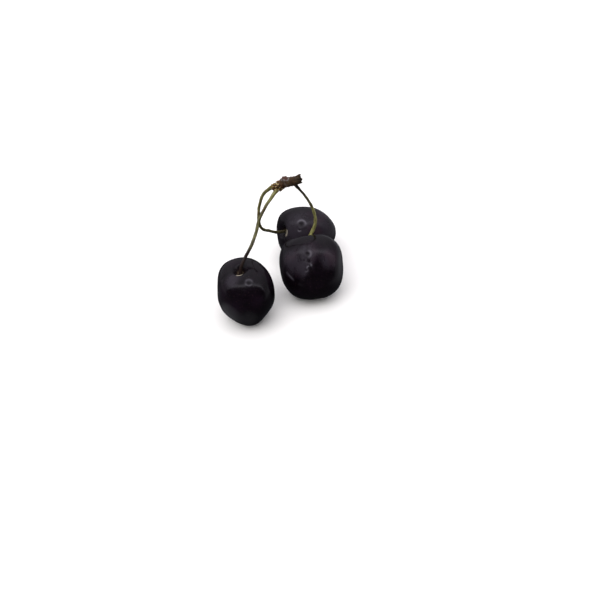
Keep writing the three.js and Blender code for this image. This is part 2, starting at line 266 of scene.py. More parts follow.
# How much a scale differs from its row: the first three are factors, and the others are added.
SCALE_VARIETY = {
    "length": (0.75, 1.15), "width": (0.85, 1.1), "curl": (0.3, 1.8),
    "lean": (-5, 6), "start": (-0.25, 0.25), "turn": (-8, 8), "shade": (-1.2, 1.2),
}
CORE_SIDES = 40
CORE_RINGS = 24
CORE_INSET = {"radius": 0.35, "end": 0.2}
CORE_LUMPS = [{"height": 0.06, "count": 5, "phase": 0, "twist": 4}]


def linear(hex_colour):
    """An sRGB hex colour as linear red, green, blue and alpha."""
    parts = [int(hex_colour[i : i + 2], 16) / 255 for i in (1, 3, 5)]
    return (*(c / 12.92 if c <= 0.04045 else ((c + 0.055) / 1.055) ** 2.4 for c in parts), 1)


def colour_property(name, description, hex_colour):
    return bpy.props.FloatVectorProperty(
        name=name, description=description, subtype="COLOR", size=4, min=0, max=1, default=linear(hex_colour)
    )


def length_property(name, description, default, low, high):
    return bpy.props.FloatProperty(
        name=name, description=description, unit="LENGTH", default=default, min=low, max=high, precision=5
    )


class FruitSettings(bpy.types.PropertyGroup):
    """The finish of the fruit."""

    skin: colour_property("Skin", "Colour of the ripe skin", "#0a060a")
    blush: colour_property("Blush", "Redder patches where the skin is thinner", "#160c16")
    # The bloom colour is partly painted sheen, laid where the skin mirrors the grey sky.
    bloom_and_sheen: colour_property("Bloom", "Where its thin wax bloom is left", "#29242b")
    # The hollow's colour is darker than the cork's own brown, as painted shade.
    hollow: colour_property("Hollow", "Corky brown inside the hollow round the stalk", "#1e140f")
    roughness: bpy.props.FloatProperty(
        name="Roughness", description="How soft the skin's reflections are", subtype="FACTOR",
        min=0, max=1, default=0.14,
    )
    lenticel_spacing: length_property(
        "Lenticel spacing", "Distance between the skin's pale breathing pores", 0.0013, 0.0005, 0.01
    )


class StalkSettings(bpy.types.PropertyGroup):
    """The size and finish of the stalks."""

    radius: length_property("Radius", "Radius of a stalk half way along", 0.00062, 0.0003, 0.001)
    green: colour_property("Green", "The stalk's olive skin", "#9f9b64")
    shade: colour_property("Shade", "The duller green of its sides", "#6c6a3c")
    # The foot colour is also laid as painted shade where a stalk's tone falls further up.
    foot: colour_property("Foot", "Dull brown by the fruit", "#241a17")
    cork: colour_property("Cork", "The pale corky disc that it stands on", "#e6dfcb")


class SpurSettings(bpy.types.PropertyGroup):
    """The finish of the wood."""

    bark: colour_property("Bark", "The brown bark", "#443318")
    grey: colour_property("Weathered bark", "The grey skin on old bark", "#5a524a")
    scar: colour_property("Scars", "Reddish ring scars", "#4a2a20")
    crack: colour_property("Cracks", "The dark of cracks and the broken end", "#2c2016")


class ScaleSettings(bpy.types.PropertyGroup):
    """The size and finish of the bud scales."""

    thickness: length_property("Thickness", "Thickness of one papery scale", 0.00014, 0.00005, 0.0007)
    gold: colour_property("Gold", "The scales nearest the stalks", "#8c640e")
    orange: colour_property("Orange", "The scales nearest the wood", "#7e4c20")
    pale: colour_property("Pale edge", "Their dry edges and specks", "#e6d6a0")


class StageSettings(bpy.types.PropertyGroup):
    """The floor, the light and the camera."""

    floor: colour_property("Floor", "The plain pale floor", "#fbf9f6")
    bench_shade: colour_property("Bench", "The grey that the gloss of the fruit mirrors", "#38383b")
    floor_radius: length_property(
        "Floor radius", "Radius of the floor", 20 * (CAD_BOX[1] - CAD_BOX[0]).length, 0.1, 10
    )
    distance: length_property("Camera distance", "From the camera to what it looks at", 0.28, 0.05, 5)
    elevation: bpy.props.FloatProperty(
        name="Camera elevation", description="How steeply the camera looks down", subtype="ANGLE",
        default=math.radians(40), min=0, max=math.pi / 2,
    )
    lens: bpy.props.FloatProperty(
        name="Lens", description="Focal length on a 36 mm sensor", unit="CAMERA", default=42, min=10, max=300
    )
    target: bpy.props.FloatVectorProperty(
        name="Target", description="The point on the floor that the camera looks at", subtype="TRANSLATION",
        default=(0.00705, -0.0097, 0),
    )


class ClusterSettings(bpy.types.PropertyGroup):
    """All the settings of the cluster."""

    fruit: bpy.props.PointerProperty(type=FruitSettings)
    stalk: bpy.props.PointerProperty(type=StalkSettings)
    spur: bpy.props.PointerProperty(type=SpurSettings)
    scales: bpy.props.PointerProperty(type=ScaleSettings)
    stage: bpy.props.PointerProperty(type=StageSettings)


# -------- shapes


def bell(x):
    return np.exp(-(x * x))


def smoothstep(x, low, high):
    share = np.clip((x - low) / (high - low), 0, 1)
    return share * share * (3 - 2 * share)


def turn_from(start, to):
    """The signed angle from one bearing to another, the short way round."""
    return np.arctan2(np.sin(to - start), np.cos(to - start))


def bearings(sides):
    return np.arange(sides) * 2 * np.pi / sides


def around(reach, bearing, along):
    """Points at a reach from the Z axis, at a bearing about it and at a place along it."""
    return np.stack([reach * np.cos(bearing), reach * np.sin(bearing), along], -1)


def waves(listed, bearing, t=0.0):
    """The sum of some waves round a rod, at a bearing and a share of its length."""
    return sum(w["height"] * np.sin(w["count"] * bearing + w["phase"] + w["twist"] * t) for w in listed)


def ripple(points, seed, length, height, count=RIPPLE_WAVES):
    """Gentle seeded waves that run through space in all directions, at each point."""
    random = np.random.default_rng(seed)
    directions = random.normal(size=(count, 3))
    directions /= np.linalg.norm(directions, axis=1)[:, None]
    rates = 2 * np.pi / (length * random.uniform(*RIPPLE_VARIETY, count))
    phases = random.uniform(0, 2 * np.pi, count)
    return height * np.sqrt(2 / count) * np.sin((points @ directions.T) * rates + phases).sum(axis=-1)


def rotation(axis, degrees):
    """A rotation about Y or Z, as a matrix for points in rows."""
    c, s = math.cos(math.radians(degrees)), math.sin(math.radians(degrees))
    rows = {"y": [[c, 0, s], [0, 1, 0], [-s, 0, c]], "z": [[c, -s, 0], [s, c, 0], [0, 0, 1]]}
    return np.array(rows[axis]).T


def seat(points, node):
    """Fits points in mm to a CAD node's box, in metres: a finer mesh overhangs it by hundredths of a mm."""
    low, high = (np.array(corner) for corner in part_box(node))
    return low + (points - points.min(axis=0)) * (high - low) / np.ptp(points, axis=0)


def to_frame(points):
    """Points in mm of the cluster's own frame, in metres of the CAD model's: both place the front cherry."""
    cluster, _, _ = standing(FRUITS["front"], fruit_grid(FRUITS["front"])[0])
    return points * MM + np.array(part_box("cherry_front")[0]) - cluster.min(axis=0) * [MM, MM, 0]


def new_object(name, data):
    made = bpy.data.objects.new(name, data)
    bpy.context.scene.collection.objects.link(made)
    return made


def closed_mesh(name, points, sides, marks):
    """A smooth mesh of rings with so many sides each, closed at both ends by the last two points.

    marks are values kept for the materials at each point: one number, or three."""
    rings = (len(points) - 2) // sides
    here = np.arange(rings * sides).reshape(rings, sides)
    beside = np.roll(here, -1, axis=1)
    quads = np.stack([here[1:], beside[1:], beside[:-1], here[:-1]], axis=-1).reshape(-1, 4)
    near = np.stack(np.broadcast_arrays(rings * sides, here[0], beside[0]), 1)
    far = np.stack(np.broadcast_arrays(rings * sides + 1, beside[-1], here[-1]), 1)
    mesh = bpy.data.meshes.new(name)
    mesh.from_pydata(points.tolist(), [], quads.tolist() + near.tolist() + far.tolist())
    mesh.shade_smooth()
    for mark, values in marks.items():
        flat = np.asarray(values, np.float32)
        kind, slot = ("FLOAT", "value") if flat.ndim == 1 else ("FLOAT_VECTOR", "vector")
        mesh.attributes.new(mark, kind, "POINT").data.foreach_set(slot, flat.ravel())
    return new_object(name, mesh)


def finish_piece(piece, material, node):
    """Gives a piece its material and its place in the frame."""
    piece.data.materials.append(material)
    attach(piece, "root")
    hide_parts(node)


# -------- fruit


def skin_points(fruit, polar, bearing):
    """Points of the skin in the fruit's own frame, with its stalk on +Z, and their reach from its axis."""
    across = np.clip(np.sin(polar), 0, None)
    along = np.cos(polar)
    power = 2 / SQUARENESS
    reach = across**power * (1 + fruit["heart"] * along)
    rise = np.sign(along) * np.abs(along) ** power
    ray = around(across, bearing, along)
    swell = np.ones_like(polar)
    for *at, depth in fruit["dents"]:
        swell -= depth / (fruit["width"] / 2) * bell(angle_from(ray, at) / DENT_SPREAD)
    from_seam = turn_from(SEAM["bearing"], bearing)
    swell -= SEAM["depth"] * bell(from_seam / SEAM["width"]) * np.sqrt(across)
    swell -= SEAM_FLAT["depth"] * bell(from_seam / SEAM_FLAT["width"]) * across**2
    hollow = HOLLOW["depth"] * bell(reach / HOLLOW["radius"])
    shoulder = SHOULDER["depth"] * bell(reach / SHOULDER["radius"])
    dimple = BLOSSOM_DIMPLE["depth"] * bell(reach / BLOSSOM_DIMPLE["radius"])
    sunk = np.sqrt(np.clip(along, 0, None)) * (hollow + shoulder) - np.sqrt(np.clip(-along, 0, None)) * dimple
    points = np.stack(
        [
            fruit["width"] / 2 * reach * np.cos(bearing) * swell,
            fruit["thick"] / 2 * reach * np.sin(bearing) * swell,
            fruit["height"] / 2 * rise * swell - sunk,
        ],
        axis=-1,
    )
    return points, reach


def standing(fruit, own):
    """A fruit's own points as it stands in the cluster, in mm, and its middle and its lean there."""
    upright = rotation("y", fruit["tilt"]) @ rotation("z", fruit["lean"])
    points = own @ (rotation("z", fruit["turn"]) @ upright)
    middle = np.array([*fruit["at"], -points[:, 2].min() - PRESS])
    return points + middle, middle, upright


def ray_to(bearing, height):
    """The direction from the fruit's middle to a place on it."""
    height = math.radians(height)
    return around(math.cos(height), math.radians(bearing), math.sin(height))


def angle_from(rays, at):
    return np.arccos(np.clip(rays @ ray_to(*at), -1, 1))


def fruit_grid(fruit):
    """The skin's points with their reach, polar angle and bearing: rings from the stalk, then both ends."""
    even = np.linspace(0, np.pi, FRUIT_RINGS + 2)[1:-1]
    polar = np.repeat(even - RING_CROWDING * np.sin(2 * even), FRUIT_SIDES)
    bearing = np.tile(bearings(FRUIT_SIDES), FRUIT_RINGS)
    polar = np.append(polar, [0, np.pi])
    bearing = np.append(bearing, [0, 0])
    own, reach = skin_points(fruit, polar, bearing)
    return own, reach, polar, bearing


def work_pock(pock, own, outward, rise, pale, sunk):
    """Adds a pock to how far the skin rises, its painted highlight and the painted shade of its dip."""
    centre = ray_to(*pock["at"])
    towards = ray_to(*pock["pale"]) - centre
    apart = (outward - centre) * np.linalg.norm(own, axis=1)[:, None]
    off = np.linalg.norm(apart, axis=1)
    least, share = POCK["ring"]
    ring = bell((off - pock["radius"]) / (least + share * pock["radius"]))
    rise += pock["rise"] * ring - pock["dip"] * bell(off / (POCK["dip"] * pock["radius"]))
    side = apart @ towards / (np.linalg.norm(towards) * pock["radius"])
    np.maximum(pale, pock["share"] * ring * smoothstep(side, *POCK["crescent"]), out=pale)
    np.maximum(sunk, bell(off / (POCK["dark"] * pock["radius"])), out=sunk)


def work_crease(crease, own, outward, rise, pale):
    """Adds a crease to how far the skin rises and to its painted highlight."""
    start, end = (own[np.argmax(outward @ ray_to(*at))] for at in crease["ends"])
    line = end - start
    share = np.clip((own - start) @ line / (line @ line), 0, 1)
    off = np.linalg.norm(own - start - share[:, None] * line, axis=1)
    rise -= crease["depth"] * bell(off / crease["width"])
    np.maximum(pale, crease["share"] * bell(off / crease["width"]) * np.sin(np.pi * share), out=pale)


def lip_highlight_share(lip_mark, own):
    """How much of one pale crescent, a painted highlight on the hollow's lip, lies at each point."""
    across = (np.hypot(own[:, 0], own[:, 1]) - lip_mark["reach"]) / lip_mark["width"]
    round_it = turn_from(math.radians(lip_mark["bearing"]), np.arctan2(own[:, 1], own[:, 0])) / lip_mark["spread"]
    return lip_mark["share"] * smoothstep(bell(np.hypot(across, round_it)), *LIP_HIGHLIGHT_EDGE)


def add_fruit(place, material):
    fruit = FRUITS[place]
    own, reach, polar, bearing = fruit_grid(fruit)
    outward = own / np.linalg.norm(own, axis=1)[:, None]
    rise, pale, sunk = np.zeros((3, len(own)))
    for i, wave in enumerate(RIPPLES):
        seed = 10 * sorted(FRUITS).index(place) + i
        rise += smoothstep(reach, *RIPPLE_START) * ripple(own, seed, **wave)
    for pock in POCKS[place]:
        work_pock(pock, own, outward, rise, pale, sunk)
    for crease in CREASES.get(place, []):
        work_crease(crease, own, outward, rise, pale)
    own = own + outward * rise[:, None]
    points, _, _ = standing(fruit, own)
    points[:, 2] = np.maximum(points[:, 2], points[:, 2].min() + PRESS)
    top = polar < np.pi / 2
    scar = bell((reach - STALK_SCAR["radius"]) / STALK_SCAR["width"])
    bloom_and_sheen = [bell(angle_from(outward, at) / spread) for *at, spread in BLOOM_AND_SHEEN[place]]
    # Some marks hold painted light: sheen where the bloom lies, highlights on the pocks, the crease and the
    # hollow's lip, and shade in the pocks' dips.
    marks = {
        "own": own,
        "lip_highlight": top * sum((lip_highlight_share(lip_mark, own) for lip_mark in LIP_HIGHLIGHTS.get(place, [])), np.zeros(len(own))),
        "hollow": np.where(top, bell(reach / HOLLOW_BROWN), 0),
        "scar": np.where(top, scar, bell(reach / BLOSSOM_SCAR)),
        "pale": pale,
        "sunk": sunk,
        "bloom_and_sheen": np.max(bloom_and_sheen, axis=0),
        "seam": bell(turn_from(SEAM["bearing"], bearing) / SEAM_LINE) * np.sin(polar),
    }
    name = f"cherry_{place}"
    piece = closed_mesh(f"{name}_skin", seat(points, name), FRUIT_SIDES, marks)
    finish_piece(piece, material, name)


# -------- rods

PATH_STEPS = 60  # between two of its points


def smooth_path(points, count):
    """A centripetal Catmull-Rom curve through the points: evenly spaced places, directions and its length."""
    p = np.array(points, float)
    p = np.concatenate([[2 * p[0] - p[1]], p, [2 * p[-1] - p[-2]]])
    steps = np.diff(p, axis=0)
    gaps = np.sqrt(np.linalg.norm(steps, axis=1))
    w = np.linspace(0, 1, PATH_STEPS)[:, None]
    stretches = []
    for i in range(1, len(p) - 2):
        before, gap, after = gaps[i - 1 : i + 2]
        arriving, step, departing = steps[i - 1 : i + 2]
        leaving = gap * (arriving / before - (arriving + step) / (before + gap) + step / gap)
        coming = gap * (step / gap - (step + departing) / (gap + after) + departing / after)
        cube = leaving + coming - 2 * step
        square = 3 * step - 2 * leaving - coming
        stretches.append(p[i] + leaving * w + square * w**2 + cube * w**3)
    line = np.concatenate([s[:-1] for s in stretches] + [stretches[-1][-1:]])
    along = np.append(0, np.cumsum(np.linalg.norm(np.diff(line, axis=0), axis=1)))
    t = np.linspace(0, along[-1], count)
    places = np.stack([np.interp(t, along, line[:, axis]) for axis in range(3)], axis=1)
    directions = np.gradient(places, axis=0)
    return places, directions / np.linalg.norm(directions, axis=1)[:, None], along[-1]


def frames_along(directions):
    """Two directions across the path at each place, which turn with it and don't twist."""
    axis = np.eye(3)[np.argmin(np.abs(directions[0]))]
    across = np.cross(directions[0], np.cross(directions[0], axis))
    normals = []
    for direction in directions:
        across = across - (across @ direction) * direction
        across = across / np.linalg.norm(across)
        normals.append(across)
    normals = np.array(normals)
    return normals, np.cross(directions, normals)


def rod(path, sides, t, radius, push=0.0):
    """Rings of points about a path, and their places in its wood or skin: across it twice, and along it.

    t and radius have a row for each ring, and push moves points along the path."""
    places, directions, length = path
    normals, binormals = frames_along(directions)
    steps = np.arange(len(places)) / (len(places) - 1)

    def at(values):
        return np.stack([np.interp(t, steps, values[:, axis]) for axis in range(3)], axis=-1)[:, None]

    bearing = np.tile(bearings(sides), (len(t), 1))
    spread = radius * np.cos(bearing)
    rise = -radius * np.sin(bearing)
    points = at(places) + at(normals) * spread[..., None] + at(binormals) * rise[..., None]
    points = points + at(directions) * (np.zeros_like(radius) + push)[..., None]
    return points, np.stack(np.broadcast_arrays(spread, rise, (t * length)[:, None]), -1)


def close_ends(rings):
    """The rings as one list of points, with the middle of the first ring and of the last one after them."""
    ends = [rings[0].mean(axis=0), rings[-1].mean(axis=0)]
    return np.concatenate([rings.reshape(-1, rings.shape[-1]), ends])


def add_stalk(place, material, radius):
    fruit, stalk = FRUITS[place], STALKS[place]
    own, _, _, _ = fruit_grid(fruit)
    _, middle, upright = standing(fruit, own)
    floor = own[-2, 2]  # of the hollow: the fruit's stalk end is its last point but one
    foot, leaving = (
        middle + np.array([0, 0, floor + height]) @ upright for height in (-STALK_SOCKET, STALK_STRAIGHT)
    )
    path = smooth_path([foot, leaving, *stalk["through"], stalk["root"]], STALK_RINGS)
    t = np.linspace(0, 1, STALK_RINGS)
    at_foot, at_root = stalk["girth"]
    girth = radius * (at_foot + (at_root - at_foot) * smoothstep(t, *STALK_TAPER))
    girth = girth + STALK_FOOT["swell"] * bell(t / STALK_FOOT["share"])
    girth = girth + STALK_ROOT["swell"] * bell((1 - t) / STALK_ROOT["share"])
    ridged = girth[:, None] + waves(STALK_RIDGES, bearings(STALK_SIDES)[None, :], t[:, None])
    points, _ = rod(path, STALK_SIDES, t, ridged)
    lumps = ripple(points, SEEDS["stalks"], **STALK_LUMPS)
    points, grain = rod(path, STALK_SIDES, t, ridged + lumps)
    share = np.repeat(t, STALK_SIDES)
    marks = {
        "grain": close_ends(grain),
        "tone": np.append(np.interp(share, *zip(*STALK_TONES[place])), [0, 0]),
        "cork": np.append(smoothstep(share, CORK_FADE * stalk["cork"], stalk["cork"]), [1, 0]),
    }
    name = f"stalk_{place}"
    piece = closed_mesh(f"{name}_skin", seat(close_ends(points), name), STALK_SIDES, marks)
    finish_piece(piece, material, name)


def bud_swell(bud, t, bearing, length):
    """A bump on the wood, 1 at its middle."""
    round_it = turn_from(math.radians(bud["bearing"]), bearing) / bud["width"]
    along = (t - bud["along"]) * length / (bud["width"] * SPUR["thick"])
    return bell(np.hypot(round_it, along))


def spur_radius(t, bearing, length):
    """The wood's radius at shares of its length, down rows, and bearings, across columns."""
    radius = SPUR["thin"] + (SPUR["thick"] - SPUR["thin"]) * smoothstep(t, 0, SPUR["shoulder"])
    radius = radius * (1 + waves(SPUR["lobes"], bearing, t))
    for scar in SPUR["scars"]:
        radius = radius + SPUR["scar_height"] * bell((t - scar) / SPUR["scar_width"])
    for bud in SPUR_BUDS:
        radius = radius + bud["height"] * bud_swell(bud, t, bearing, length)
    near_end = smoothstep(t, BROKEN_END["start"], 1)
    from_splinter = turn_from(math.radians(BROKEN_END["bearing"]), bearing) / BROKEN_END["width"]
    return radius + near_end * (BROKEN_END["splinter"] * bell(from_splinter) - BROKEN_END["worn"])


def add_spur(material):
    path = smooth_path(SPUR["through"], SPUR_RINGS)
    length = path[2]
    t = np.append(np.linspace(0, 1, SPUR_RINGS), np.ones(END_RINGS))
    inwards = np.append(np.ones(SPUR_RINGS), np.linspace(*END_SHARES, END_RINGS))[:, None]
    bearing = bearings(SPUR_SIDES)[None, :]
    radius = spur_radius(t[:, None], bearing, length)
    _, grain = rod(path, SPUR_SIDES, t, radius)
    wrinkle = ripple(grain * BARK_STRETCH, SEEDS["bark"], **BARK_WRINKLE)
    radius = (radius + wrinkle) * inwards
    fibres = ripple(around(radius, bearing, 0 * radius), SEEDS["fibres"], **END_FIBRES)
    teeth = waves(BROKEN_END["teeth"], bearing) * inwards
    push = teeth - BROKEN_END["sunk"] * (1 - inwards) + fibres
    points, _ = rod(path, SPUR_SIDES, t, radius, push * smoothstep(t[:, None], END_START, 1))
    scars = sum(bell((t - scar) / (SCAR_MARK * SPUR["scar_width"])) for scar in SPUR["scars"])
    buds = sum(bud_swell(bud, t[:, None], bearing, length) for bud in SPUR_BUDS)
    marks = {
        "grain": close_ends(grain),
        "share": np.append(np.repeat(t, SPUR_SIDES), [0, 1]),
        "scar": np.append(np.repeat(scars, SPUR_SIDES), [0, 0]),
        "bud": np.append(buds, [0, 0]),
        "broken": np.append(np.repeat(1 - inwards[:, 0], SPUR_SIDES), [0, 1]),
        "wrinkle": np.append(wrinkle / BARK_WRINKLE["height"], [0, 0]),
    }
    piece = closed_mesh("spur_bark", seat(close_ends(points), "spur"), SPUR_SIDES, marks)
    finish_piece(piece, material, "spur")


# -------- bud scales


def ball_grid(rings, sides):
    """The polar angles of a ball's rings, down rows, and the bearings of their sides, across columns."""
    return np.linspace(0, np.pi, rings + 2)[1:-1, None], bearings(sides)[None, :]


def blade_points(length, width, curl, thickness, random):
    """One papery scale: it stands on the origin along +Z, with its back to +X."""
    polar, bearing = ball_grid(BLADE_RINGS, BLADE_SIDES)
    t = (1 - np.cos(polar)) / 2 + 0 * bearing
    side = np.sin(polar) * np.sin(bearing)
    face = np.sin(polar) * np.cos(bearing)
    depth, long_waves, cross_waves = BLADE["crinkle"]
    crinkle = np.sin(long_waves * t + random.uniform(*BLADE["phases"]))
    crinkle = crinkle * np.sin(cross_waves * side + random.uniform(*BLADE["phases"]))
    out = face * thickness / 2 + curl * t**2 - BLADE["cup"] * side**2 + depth * crinkle * t
    across = side * width / 2 * (1 - BLADE["taper"] * t)
    ragged, tip_waves = BLADE["ragged"]
    rings = np.stack([out, across, t * length + ragged * np.sin(tip_waves * side) * t], -1)
    return close_ends(rings), np.append(np.abs(side), [0, 0]), np.append(t, [0, 1])


def core_points():
    """The buds' core that the scales stand on."""
    polar, bearing = ball_grid(CORE_RINGS, CORE_SIDES)
    radius = (COLLAR["radius"] - CORE_INSET["radius"]) * (1 + waves(CORE_LUMPS, bearing, polar))
    across = radius * np.sin(polar)
    along = np.cos(polar) * (COLLAR["length"] / 2 - CORE_INSET["end"]) + 0 * bearing
    return close_ends(around(across, bearing, along))


def scale_parts(thickness):
    """Each scale in its place, and last the core: points, sides, and three values for its marks."""
    random = np.random.default_rng(SEEDS["scales"])

    def vary(measure):
        return random.uniform(*SCALE_VARIETY[measure])

    for row_index, row in enumerate(SCALE_ROWS):
        for i in range(row["count"]):
            length, width, curl = (row[measure] * vary(measure) for measure in ("length", "width", "curl"))
            blade, side, t = blade_points(length, width, curl, thickness, random)
            turned = blade @ rotation("y", row["lean"] + vary("lean"))
            turned = turned + [row["radius"], 0, row["start"] + vary("start")]
            turned = turned @ rotation("z", (i + row_index / 2) * 360 / row["count"] + vary("turn"))
            shade = np.full(len(t), (row_index + vary("shade")) / (len(SCALE_ROWS) - 1))
            yield turned, BLADE_SIDES, side, t, shade
    core = core_points()
    # The core's marks are all 0, so it takes the painted shade of the scales' bases.
    yield core, CORE_SIDES, *np.zeros((3, len(core)))


def add_bud_scales(material, thickness):
    """All the scales, joined in one piece with their core."""
    _, directions, _ = smooth_path(SPUR["through"], SPUR_RINGS)
    to_stalks = Vector(-directions[0])
    aim = np.array(Vector((0, 0, 1)).rotation_difference(to_stalks).to_matrix()).T
    pieces = []
    for i, (points, sides, side, t, shade) in enumerate(scale_parts(thickness)):
        placed = to_frame(points @ aim + COLLAR["middle"])
        marks = {"own": points, "edge": side, "share": t, "shade": shade}
        pieces.append(closed_mesh(f"scale_{i}", placed, sides, marks))
    husk = pieces[0]
    with bpy.context.temp_override(active_object=husk, selected_editable_objects=pieces):
        bpy.ops.object.join()
    husk.name = husk.data.name = "bud_scales_husk"
    finish_piece(husk, material, "bud_scales")


# -------- materials

SMOOTH = {"interpolation_type": "SMOOTHSTEP"}
TIMES = {"operation": "MULTIPLY"}
TIMES_PLUS = {"operation": "MULTIPLY_ADD"}  # the first input times the second, and the third added


def add_node(tree, kind, inputs=(), **settings):
    """Adds a node. inputs has a value, a hex colour, a node or a node's output for each of its inputs in
    use, in their order or by their names."""
    made = tree.nodes.new(f"ShaderNode{kind}")
    for name, value in settings.items():
        setattr(made, name, value)
    if not isinstance(inputs, dict):
        inputs = dict(zip((i for i, socket in enumerate(made.inputs) if socket.enabled), inputs))
    for key, value in inputs.items():
        if isinstance(value, bpy.types.Node):
            value = next(output for output in value.outputs if output.enabled)
        if isinstance(value, bpy.types.NodeSocket):
            tree.links.new(value, made.inputs[key])
        else:
            made.inputs[key].default_value = linear(value) if isinstance(value, str) else value
    return made


def cleared(owner):
    """A material or a world without its first nodes, and what adds a node to it."""
    owner.use_nodes = True
    owner.node_tree.nodes.clear()
    return owner, partial(add_node, owner.node_tree)


def read_marks(add, place, *others):
    """What a mesh keeps at each point: a place, and as many numbers as are named."""
    numbers = [add("Attribute", attribute_name=name).outputs["Fac"] for name in others]
    return add("Attribute", attribute_name=place).outputs["Vector"], *numbers


def soft_patches(add, where, length, stretch=(1, 1, 1), detail=2):
    """Noise whose patches are about so long, in the units of where."""
    scaled = add("VectorMath", [where, stretch], **TIMES)
    return add("TexNoise", {"Vector": scaled, "Scale": 1 / length, "Detail": detail})


def paint(add, ground, *layers):
    """Lays colours over a ground colour. Each layer is the share that it covers, and its colour."""
    for share, colour in layers:
        ground = add("Mix", [share, ground, colour], data_type="RGBA")
    return ground


def add_surface(add, colour, relief, depth, finish):
    """Links a surface: its colour, a relief of so many millimetres, and the rest of its finish."""
    bump = add("Bump", {"Distance": depth * MM, "Height": relief})
    shader = add("BsdfPrincipled", {"Base Color": colour, "Normal": bump, **finish})
    add("OutputMaterial", {"Surface": shader})


def cherry_skin(settings):
    """Ripe sweet cherry skin under its own wax: nearly black wine red, with sharp and slightly wavy gloss,
    painted sheen and highlights, and painted shade in its hollow and pocks.
    """
    material, add = cleared(bpy.data.materials.new("waxy ripe cherry skin"))
    own, lip_highlight, hollow, scar, pale, sunk, bloom_and_sheen, seam = read_marks(
        add, "own", "lip_highlight", "hollow", "scar", "pale", "sunk", "bloom_and_sheen", "seam"
    )
    patches = add("MapRange", [soft_patches(add, own, 7), 0.45, 0.75], **SMOOTH)
    mottle = add("MapRange", [soft_patches(add, own, 0.9), 0.4, 0.7, 0, 0.35], **SMOOTH)
    # A pore's disc is cut from a ball round a point in space, so the points' spacing follows from the discs'.
    pore = 0.11
    cell = (2 * pore * (settings.lenticel_spacing / MM) ** 2) ** (1 / 3)
    points = add("TexVoronoi", {"Vector": own, "Scale": 1 / cell})
    pores = add("MapRange", [points, 0.5 * pore / cell, pore / cell, 0.3, 0], **SMOOTH)
    uneven = add("Math", [soft_patches(add, own, 2.8, (1, 1, 0.6), 3), 0.6, bloom_and_sheen], **TIMES_PLUS)
    sheen_mask = add("MapRange", [uneven, 0.55, 1.3], **SMOOTH)
    cork_and_shade = add("MapRange", [add("Math", [hollow, soft_patches(add, own, 0.8)]), 0.9, 1.5], **SMOOTH)
    ragged = add("MapRange", [soft_patches(add, own, 0.6), 0.35, 0.5, 0.4, 1], **SMOOTH)
    colour = paint(
        add, settings.skin,
        (patches, settings.blush),
        (mottle, settings.blush),
        (pores, "#6a4a48"),
        # Wax bloom and painted sheen, where the skin mirrors the grey sky.
        (sheen_mask, paint(add, settings.bloom_and_sheen, (patches, "#2e222a"))),
        # The hollow's corky brown, darkened as painted shade.
        (cork_and_shade, settings.hollow),
        (add("Math", [scar, 0.6], **TIMES), "#6a5c4c"),
        # A painted highlight on the hollow's lip.
        (add("Math", [lip_highlight, ragged], **TIMES), "#d8ccb4"),
        (add("Math", [seam, 0.5], **TIMES), "#0a0508"),
        # Painted shade in the pocks' dips.
        (add("Math", [sunk, 0.8], **TIMES), settings.skin),
        # Painted highlights on the pocks and the crease.
        (add("Math", [pale, 0.85], **TIMES), "#615d65"),
    )
    least = settings.roughness
    rough = add("MapRange", [soft_patches(add, own, 2.5), 0.35, 0.75, least, least + 0.08], **SMOOTH)
    for dull, most in ((hollow, 0.25), (sheen_mask, 0.15)):
        rough = add("Math", [dull, most, rough], **TIMES_PLUS)
    relief = add("Math", [pores, -2, soft_patches(add, own, 0.35)], **TIMES_PLUS)
    add_surface(add, colour, relief, 0.004, {"Roughness": rough, "IOR": 1.36})
    return material


def stalk_skin(settings):
    """Green stalk skin: olive, finely streaked along its length, satin, with dull brown by its tone: at the
    fruit, and as painted shade where the tone falls further up.
    """
    material, add = cleared(bpy.data.materials.new("green stalk skin"))
    grain, tone, cork = read_marks(add, "grain", "tone", "cork")
    # The real fibres are about 0.1 mm wide, and these are coarser so that they show.
    streaks = soft_patches(add, grain, 0.3, (1, 1, 0.12), 3)
    blotches = soft_patches(add, grain, 1.6, (1, 1, 0.5))
    uneven = add("Math", [streaks, 0.3, tone], **TIMES_PLUS)
    colour = paint(
        add, settings.shade,
        (add("MapRange", [streaks, 0.38, 0.62], **SMOOTH), settings.green),
        (add("MapRange", [blotches, 0.52, 0.72, 0, 0.55], **SMOOTH), "#7a5a3a"),
        # Dull brown where the tone is low: the real foot by the fruit, and painted shade further up.
        (add("MapRange", [uneven, 0.15, 1.05, 1, 0], **SMOOTH), settings.foot),
        (cork, settings.cork),
    )
    add_surface(add, colour, streaks, 0.02, {"Roughness": 0.45, "IOR": 1.45})
    return material


